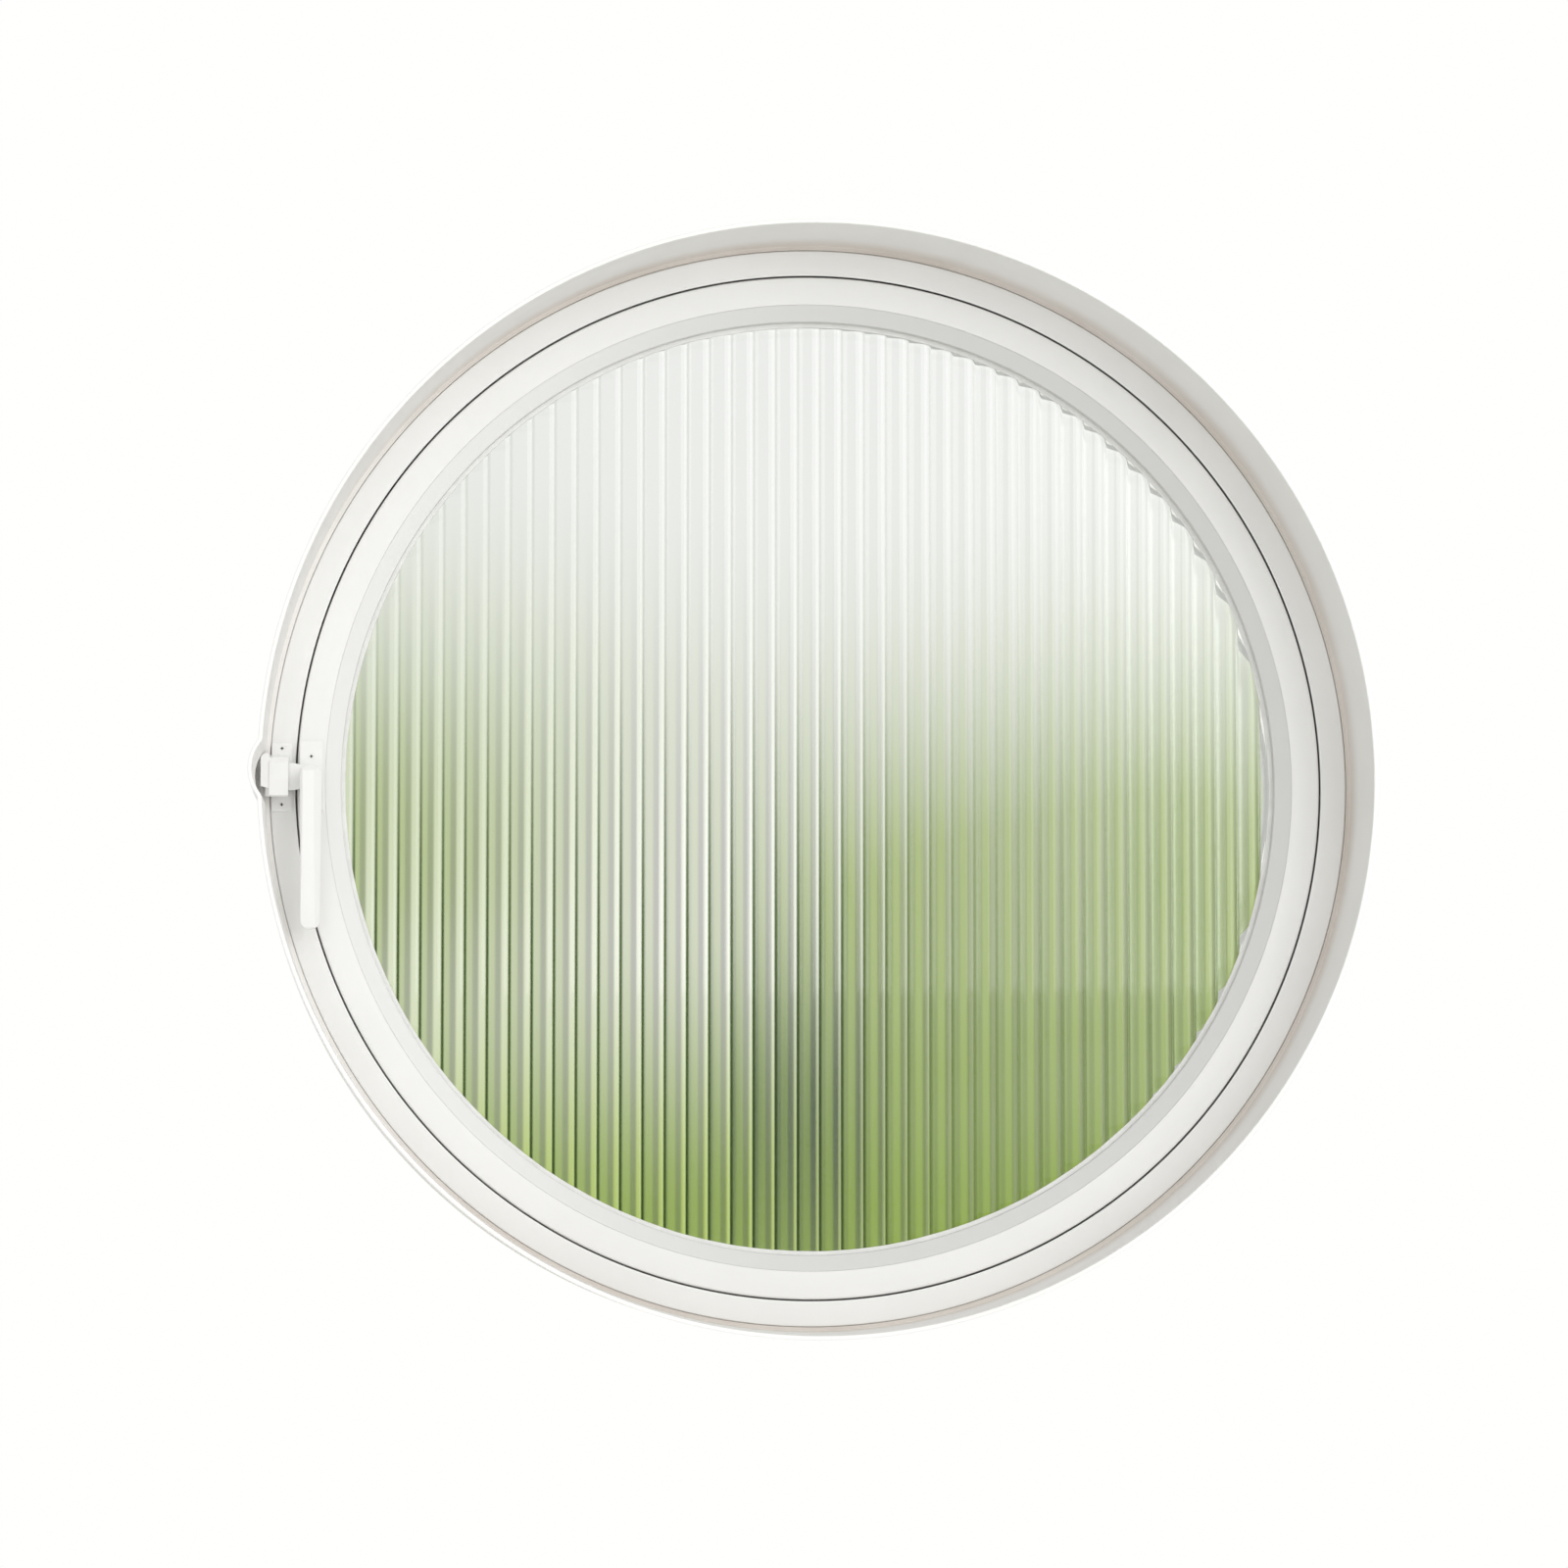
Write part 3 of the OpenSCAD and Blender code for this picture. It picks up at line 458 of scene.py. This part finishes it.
class Finish:
    """A node tree of a material or of the world, built one call at a time."""

    def __init__(self, owner):
        owner.use_nodes = True
        self.owner, self.tree = owner, owner.node_tree
        self.tree.nodes.clear()

    def node(self, kind, inputs=None, out=0, **settings):
        """Adds a node: settings first, then its inputs by name or number."""
        node = self.tree.nodes.new(kind)
        for name, value in settings.items():
            setattr(node, name, value)
        for key, value in (inputs or {}).items():
            if isinstance(value, Wire):
                self.tree.links.new(value.socket, node.inputs[key])
            else:
                opaque = node.inputs[key].type == "RGBA" and len(value) == 3
                node.inputs[key].default_value = (*value, 1) if opaque else value
        return Wire(self.tree, node.outputs[out]) if len(node.outputs) else node

    def place(self):
        """Object coordinates, which are the part's own metres."""
        return self.node("ShaderNodeTexCoord", out="Object")

    def parts(self, vector):
        """The X, Y and Z of a vector as three wires."""
        first = self.node("ShaderNodeSeparateXYZ", {0: vector})
        outs = first.socket.node.outputs
        return [Wire(self.tree, o) for o in outs]

    def grain(self, scale, detail=2.0, roughness=0.5, stretch=(1, 1, 1)):
        """Noise of a given number of grains a metre, which may be stretched along an axis."""
        where = self.node("ShaderNodeMapping", {"Vector": self.place(), "Scale": stretch})
        return self.node("ShaderNodeTexNoise", {"Vector": where, "Scale": scale, "Detail": detail,
                                                "Roughness": roughness}, noise_dimensions="3D")

    def blend(self, share, first, second):
        """A colour between two others."""
        return self.node("ShaderNodeMix", {0: share, 6: first, 7: second}, out=2, data_type="RGBA")

    def relief(self, height, strength, distance):
        """A bumped normal from a height."""
        return self.node("ShaderNodeBump", {"Height": height, "Strength": strength, "Distance": distance})

    def surface(self, **sockets):
        """The Principled surface and the output. An underscore stands for a space."""
        shader = self.node("ShaderNodeBsdfPrincipled",
                           {name.replace("_", " "): value for name, value in sockets.items()})
        self.node("ShaderNodeOutputMaterial", {"Surface": shader})
        return self.owner


def finish(name):
    return Finish(bpy.data.materials.new(name))


# %% [markdown]
# ## White plastic, matt lining and rubber
# The frame and the sash are satin white plastic: nearly even, with a faint orange-peel skin and
# patches that are a touch duller. The bead's colour carries painted shade: greyer than the frame,
# and less so on the lever's side, where the light falls. The lining is matt and warm, and painted
# brownish shade sits in its cove by the frame, lighter towards the left.

# %% Make the plastics and rubbers
def satin_white(name, light, shade, rough):
    f = finish(name)
    patches, skin = f.grain(9.0, 3.0), f.grain(620.0, 2.0)
    fine = f.grain(2600.0, 1.0)
    colour = f.blend(patches.step(0.35, 0.7), light, shade)
    return f.surface(Base_Color=colour, Roughness=rough + 0.10 * (patches - 0.5) + 0.05 * (fine - 0.5),
                     Normal=f.relief(skin * 0.7 + fine * 0.3, 0.10, 0.0004), IOR=1.48)


def bead_with_painted_shade(name):
    """Plastic of the bead with painted shade: greyer than the frame, and whiter on the lever's side, where
    the light falls.
    """
    f = finish(name)
    px = f.parts(f.place())[0]
    patches, skin = f.grain(9.0, 3.0), f.grain(620.0, 2.0)
    # Painted shade: the share of the darker grey grows from the lever's side towards the right.
    side = px.step(-0.32, 0.08) + 0.12 * (patches - 0.5)
    return f.surface(Base_Color=f.blend(side.clip(), (0.84, 0.84, 0.825), (0.71, 0.71, 0.695)),
                     Roughness=0.40 + 0.10 * (patches - 0.5), Normal=f.relief(skin, 0.10, 0.0004), IOR=1.48)


def warm_matt(name):
    f = finish(name)
    px, py = f.parts(f.place())[:2]
    cloud, speck = f.grain(14.0, 4.0), f.grain(900.0, 2.0)
    # Painted shade: brownish, deepest in the cove next to the frame, and weaker towards the left, where the
    # light falls.
    cove_shade_depth = 0.16 * py.step(-0.110, -0.045) + 0.52 * py.step(-0.074, -0.034)
    cove_painted_shade = cove_shade_depth * (0.75 + 0.5 * cloud) * (0.25 + 0.75 * px.step(-0.40, -0.20))
    lining_base = f.blend(cloud.step(0.3, 0.75), (0.95, 0.94, 0.925), (0.92, 0.91, 0.89))
    colour = f.blend(cove_painted_shade.clip(), lining_base, (0.56, 0.50, 0.44))
    return f.surface(Base_Color=colour, Roughness=0.62 + 0.12 * (speck - 0.5),
                     Normal=f.relief(speck, 0.16, 0.0005), IOR=1.45)


def spacer_white(name):
    """White bar between the panes. Lamps don't reach it through the glass, so a glow stands in."""
    f = finish(name)
    patches = f.grain(25.0, 3.0)
    colour = f.blend(patches.step(0.35, 0.7), (0.90, 0.90, 0.89), (0.86, 0.86, 0.85))
    return f.surface(Base_Color=colour, Roughness=0.5 + 0.1 * (patches - 0.5),
                     Emission_Color=(1.0, 1.0, 0.98), Emission_Strength=0.66)


def rubber(name, light, shade, rough):
    f = finish(name)
    cloud, skin = f.grain(60.0, 3.0), f.grain(1500.0, 2.0)
    return f.surface(Base_Color=f.blend(cloud.step(0.3, 0.7), light, shade),
                     Roughness=rough + 0.10 * (cloud - 0.5), Normal=f.relief(skin, 0.2, 0.0003), IOR=1.5)


looks = {
    "white_frame": satin_white("satin_white", (0.88, 0.88, 0.865), (0.855, 0.855, 0.84), 0.36),
    "bead": bead_with_painted_shade("bead_white"),
    "spacer": spacer_white("spacer_white"),
    "lining": warm_matt("warm_matt_white"),
    "dark_seal": rubber("black_rubber", (0.028, 0.028, 0.030), (0.045, 0.045, 0.046), 0.62),
    "pale_gasket": rubber("pale_rubber", (0.87, 0.87, 0.85), (0.80, 0.80, 0.78), 0.55),
    "pad": rubber("grey_slide_pad", (0.50, 0.50, 0.49), (0.44, 0.44, 0.43), 0.50),
}
print("plastics and rubbers:", sorted(looks))

# %% [markdown]
# ## Metal finishes
# The lever, its plate and the keeper are powder coated: white, with a finer and glossier peel than
# plastic. The straps are zinc plated, with the leafy patches that zinc crystals leave. The hinges
# are brushed along their height.

# %% Make the metals
def powder_coat(name):
    f = finish(name)
    cloud, peel = f.grain(30.0, 2.0), f.grain(1500.0, 2.0)
    return f.surface(Base_Color=f.blend(cloud.step(0.3, 0.7), (0.90, 0.90, 0.89), (0.893, 0.893, 0.883)),
                     Roughness=0.30 + 0.03 * (cloud - 0.5), Normal=f.relief(peel, 0.10, 0.0003),
                     Coat_Weight=0.25, Coat_Roughness=0.12, IOR=1.5)


def zinc_plate(name):
    f = finish(name)
    leaf = f.node("ShaderNodeTexVoronoi", {"Vector": f.place(), "Scale": 210.0}, out="Color", feature="F1")
    tone = f.node("ShaderNodeSeparateColor", {0: leaf})
    cloud = f.grain(80.0, 3.0)
    return f.surface(Base_Color=f.blend(tone * 0.7 + cloud * 0.3, (0.56, 0.58, 0.60), (0.74, 0.75, 0.76)),
                     Metallic=1.0, Roughness=0.30 + 0.20 * tone, Normal=f.relief(cloud, 0.15, 0.0003))


def brushed(name, light, shade, rough, stretch, lines=900.0):
    f = finish(name)
    strokes, cloud = f.grain(lines, 3.0, 0.6, stretch), f.grain(45.0, 2.0)
    return f.surface(Base_Color=f.blend((strokes * 0.6 + cloud * 0.4).step(0.3, 0.7), light, shade),
                     Metallic=1.0, Roughness=rough + 0.14 * (strokes - 0.5) + 0.08 * (cloud - 0.5),
                     Normal=f.relief(strokes, 0.12, 0.0002))


looks.update({
    "white_metal": powder_coat("white_powder_coat"),
    "zinc": zinc_plate("zinc_plate"),
    "screw_steel": brushed("turned_screw_steel", (0.66, 0.66, 0.66), (0.50, 0.50, 0.50), 0.28,
                           (1, 1, 1), 2200.0),
    "hinge_steel": brushed("brushed_hinge_steel", (0.74, 0.74, 0.73), (0.62, 0.62, 0.62), 0.30,
                           (1, 1, 0.03)),
})
print("finishes so far:", len(looks))

# %% [markdown]
# ## Glass
# Both panes are clear glass with the faint green of ordinary float glass. The reeded one has a
# trace of roughness from its rollers. Its valleys carry painted shade: a dark green tint, strongest
# low down and to the left, stands in for part of the dark lines that the ribs bend into view. The ribs do
# the rest.

# %% Make the glass and dress every piece
def clear_glass(name, tint, rough, valley_painted_shade=None):
    f = finish(name)
    roll = f.grain(40.0, 2.0)
    colour = tint
    if valley_painted_shade:
        px, _, pz = f.parts(f.place())
        share = (px / (PITCH * mm)).math("FRACT", px / (PITCH * mm))
        # Painted shade: a dark green tint in the valleys, strongest low down and to the left.
        valley = 1 - (share - 0.5).math("ABSOLUTE", share - 0.5).step(0.03, 0.125)
        lower, left = 1 - pz.step(-0.14, 0.14), 1 - px.step(-0.04, 0.16)
        colour = f.blend(valley * (0.12 + 0.88 * lower) * (0.4 + 0.6 * left), tint, valley_painted_shade)
    return f.surface(Base_Color=colour, Transmission_Weight=1.0, IOR=1.5,
                     Roughness=rough * (0.6 + 0.8 * roll))


looks["reeded_glass"] = clear_glass("reeded_float_glass", (0.985, 0.992, 0.985), 0.03,
                                    valley_painted_shade=(0.15, 0.22, 0.09))
looks["clear_glass"] = clear_glass("plain_float_glass", (0.985, 0.993, 0.987), 0.004)

dressed = 0
for shown in list(nodes.values()) + [o for o in bpy.data.objects if o.get("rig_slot")]:
    slot = slot_of.get(shown.name) or shown.get("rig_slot")
    if shown.type == "MESH" and slot in looks:
        shown.data.materials.clear()
        shown.data.materials.append(looks[slot])
        dressed += 1


def painted_screw(name, top):
    """White paint on the head and painted shade, near black, in the cross drive, which begins below the
    head's top.
    """
    f = finish(name)
    py = f.parts(f.place())[1]
    # Painted shade: the cross drive turns near black below the head's top.
    drive_shade = py.step(top + 0.1 * mm, top + 0.5 * mm)
    return f.surface(Base_Color=f.blend(drive_shade, (0.88, 0.88, 0.87), (0.05, 0.05, 0.05)),
                     Roughness=0.35 + 0.3 * drive_shade)


for node in ("keeper_screws", "handle_base_screws"):
    mesh = fittings[node].data
    mesh.materials.clear()
    mesh.materials.append(painted_screw(f"{node}_paint", min(v.co.y for v in mesh.vertices)))
print("dressed", dressed, "meshes")

# %% [markdown]
# ## Floor, garden and light
# The window hangs over a small pale floor. Soft light comes from the upper right of the room, so
# the deep lining shades the frame at the right and the top, and the left side stays bright. The
# background is white to the camera. What the glass shows comes from a garden behind it: a soft
# card of green and white that only light through the glass can see and that fades out at its
# edges, and a low sky with upright bands of white, grey and green. A small lamp at the left lifts
# the shade beside the lever, and is kept out of the glass.

# %% Stage the floor and the garden card
def flat_card(name, corners):
    """A single four-sided face."""
    piece = make_piece(name, np.array(corners, float), np.array([[0, 1, 2, 3]]))
    return piece


FLOOR_Z, FLOOR_HALF = -0.72, 1.15
floor = flat_card("floor", [(-FLOOR_HALF, -FLOOR_HALF, FLOOR_Z), (FLOOR_HALF, -FLOOR_HALF, FLOOR_Z),
                            (FLOOR_HALF, FLOOR_HALF, FLOOR_Z), (-FLOOR_HALF, FLOOR_HALF, FLOOR_Z)])
f = finish("pale_floor")
ray = f.node("ShaderNodeLightPath")
rays = {o.name: Wire(f.tree, o) for o in ray.socket.node.outputs}
seen = (rays["Is Camera Ray"] + rays["Is Glossy Ray"] + rays["Is Transmission Ray"]).clip()
matt = f.node("ShaderNodeBsdfDiffuse", {"Color": (0.93, 0.93, 0.92)})
glow = f.node("ShaderNodeEmission", {"Color": (1.0, 1.0, 0.99), "Strength": 1.0})
mixed = f.node("ShaderNodeMixShader", {0: seen * 0.45, 1: matt, 2: glow})
f.node("ShaderNodeOutputMaterial", {"Surface": mixed})
floor.data.materials.append(f.owner)

GARDEN_Y, GARDEN_HALF, OUTSIDE, CARD_SHARE = 0.26, 0.75, 1.12, 0.45
garden = flat_card("garden_card", [
    (-GARDEN_HALF, GARDEN_Y, FLOOR_Z), (GARDEN_HALF, GARDEN_Y, FLOOR_Z),
    (GARDEN_HALF, GARDEN_Y, GARDEN_HALF), (-GARDEN_HALF, GARDEN_Y, GARDEN_HALF)])
for kind in ("camera", "diffuse", "glossy", "volume_scatter", "shadow"):
    setattr(garden, f"visible_{kind}", False)
f = finish("garden")
gx, _, gz = f.parts(f.place())
cloud = f.grain(5.0, 3.0, 0.5, (1, 1, 0.45))


def bush(x0, z0, wide, tall):
    """A soft round mass: exp(-d^2), where d is the distance measured in widths and heights."""
    dx, dz = (gx - x0) / wide, (gz - z0) / tall
    power = (dx * dx + dz * dz) * -1.0
    return power.math("POWER", math.e, power)


drift = 0.10 * (cloud - 0.5)
lawn = 1 - (gz + drift).step(-0.34, -0.08)
hedge = (bush(-0.28, -0.01, 0.18, 0.18) * 0.95 + bush(0.30, -0.08, 0.22, 0.20) * 1.25
         + bush(0.09, -0.14, 0.10, 0.15) * 0.8).clip()
gap = bush(-0.09, -0.06, 0.09, 0.16)
dark = bush(0.012, -0.25, 0.045, 0.13)
green = (hedge * (1 - 0.75 * gap) * (0.7 + 0.6 * cloud)).clip()
colour = f.blend(green, (1.02, 1.02, 1.00), (0.37, 0.51, 0.13))
colour = f.blend((lawn * (1 - 0.35 * gap)).clip(), colour, (0.24, 0.39, 0.02))
colour = f.blend(dark.clip(), colour, (0.02, 0.09, 0.02))
card_glow = f.node("ShaderNodeEmission", {"Color": colour, "Strength": OUTSIDE})
clear = f.node("ShaderNodeBsdfTransparent", {"Color": (1, 1, 1)})
near_x = 1 - gx.math("ABSOLUTE", gx).step(0.34, 0.47)
near_z = 1 - gz.math("ABSOLUTE", gz).step(0.40, 0.60)
faded = f.node("ShaderNodeMixShader", {0: CARD_SHARE * (near_x * near_z), 1: clear, 2: card_glow})
f.node("ShaderNodeOutputMaterial", {"Surface": faded})
garden.data.materials.append(f.owner)
print("staged the floor and the garden card")

# %% Light the scene
world = bpy.data.worlds.new("room")
bpy.context.scene.world = world
f = Finish(world)
ray = f.node("ShaderNodeLightPath")
rays = {o.name: Wire(f.tree, o) for o in ray.socket.node.outputs}
through, mirrored = rays["Is Transmission Ray"], rays["Is Glossy Ray"]
wx, wy, wz = f.parts(f.node("ShaderNodeTexCoord", out="Generated"))
outward = wy.step(0.2, 0.6)
ahead = wy + 0.001
lean, rise = wx / ahead, wz / ahead
low_sky = (1 - rise.step(0.045, 0.125)) * outward * through
trees = f.blend(lean.step(-0.040, 0.005), (1.26, 1.28, 1.04), (0.17, 0.155, 0.12))
trees = f.blend(lean.step(0.040, 0.080), trees, (0.60, 0.69, 0.30))
trees = f.blend(lean.step(0.135, 0.170), trees, (0.30, 0.33, 0.20))
trees = f.blend(lean.step(0.200, 0.240), trees, (0.54, 0.62, 0.36))
trees = f.node("ShaderNodeMix", {0: 1 - rise.step(0.0, 0.045), 6: trees, 7: (0.66, 0.77, 0.20)},
               out=2, data_type="RGBA", blend_type="MULTIPLY")
high_sky = f.blend(through, (1.0, 1.0, 0.985), (1.08, 1.08, 1.06))
sky = f.blend(low_sky.clip(), high_sky, trees)
AMBIENT, MIRRORED = 0.81, 0.35
strength = AMBIENT + (1 - AMBIENT) * rays["Is Camera Ray"] + (OUTSIDE - AMBIENT) * through \
    + (MIRRORED - AMBIENT) * mirrored
ground = f.node("ShaderNodeBackground", {"Color": sky, "Strength": strength})
f.node("ShaderNodeOutputWorld", {"Surface": ground})


def soft_lamp(name, place, aim_at, wide, tall, watts):
    """An area lamp that points at a place."""
    data = bpy.data.lights.new(name, "AREA")
    data.shape, data.size, data.size_y, data.energy = "RECTANGLE", wide, tall, watts
    lamp = bpy.data.objects.new(name, data)
    bpy.context.scene.collection.objects.link(lamp)
    away = np.array(place, float) - np.array(aim_at, float)
    away /= np.linalg.norm(away)
    across = np.cross([0, 0, 1], away)
    across /= np.linalg.norm(across)
    pose = np.eye(4)
    pose[:3, :3], pose[:3, 3] = np.column_stack([across, np.cross(away, across), away]), place
    lamp.matrix_world = Matrix(pose.tolist())
    return lamp


key = soft_lamp("key", (1.7, -2.6, 1.1), (0, 0, 0), 2.4, 2.4, 29)
strip = soft_lamp("strip", (1.45, -2.75, 0.4), (0, 0, 0), 0.5, 2.0, 4)
fill = soft_lamp("fill", (-0.52, -1.2, -0.1), (-0.3, 0, 0), 0.55, 0.7, 1.5)
fill.visible_glossy = fill.visible_transmission = False
rear_fill = soft_lamp("rear_fill", (-1.6, 2.6, 1.4), (0, 0, 0), 1.8, 1.8, 9)
bpy.context.scene.view_settings.view_transform = "Standard"
print("lamps:", key.name, strip.name, fill.name, rear_fill.name)
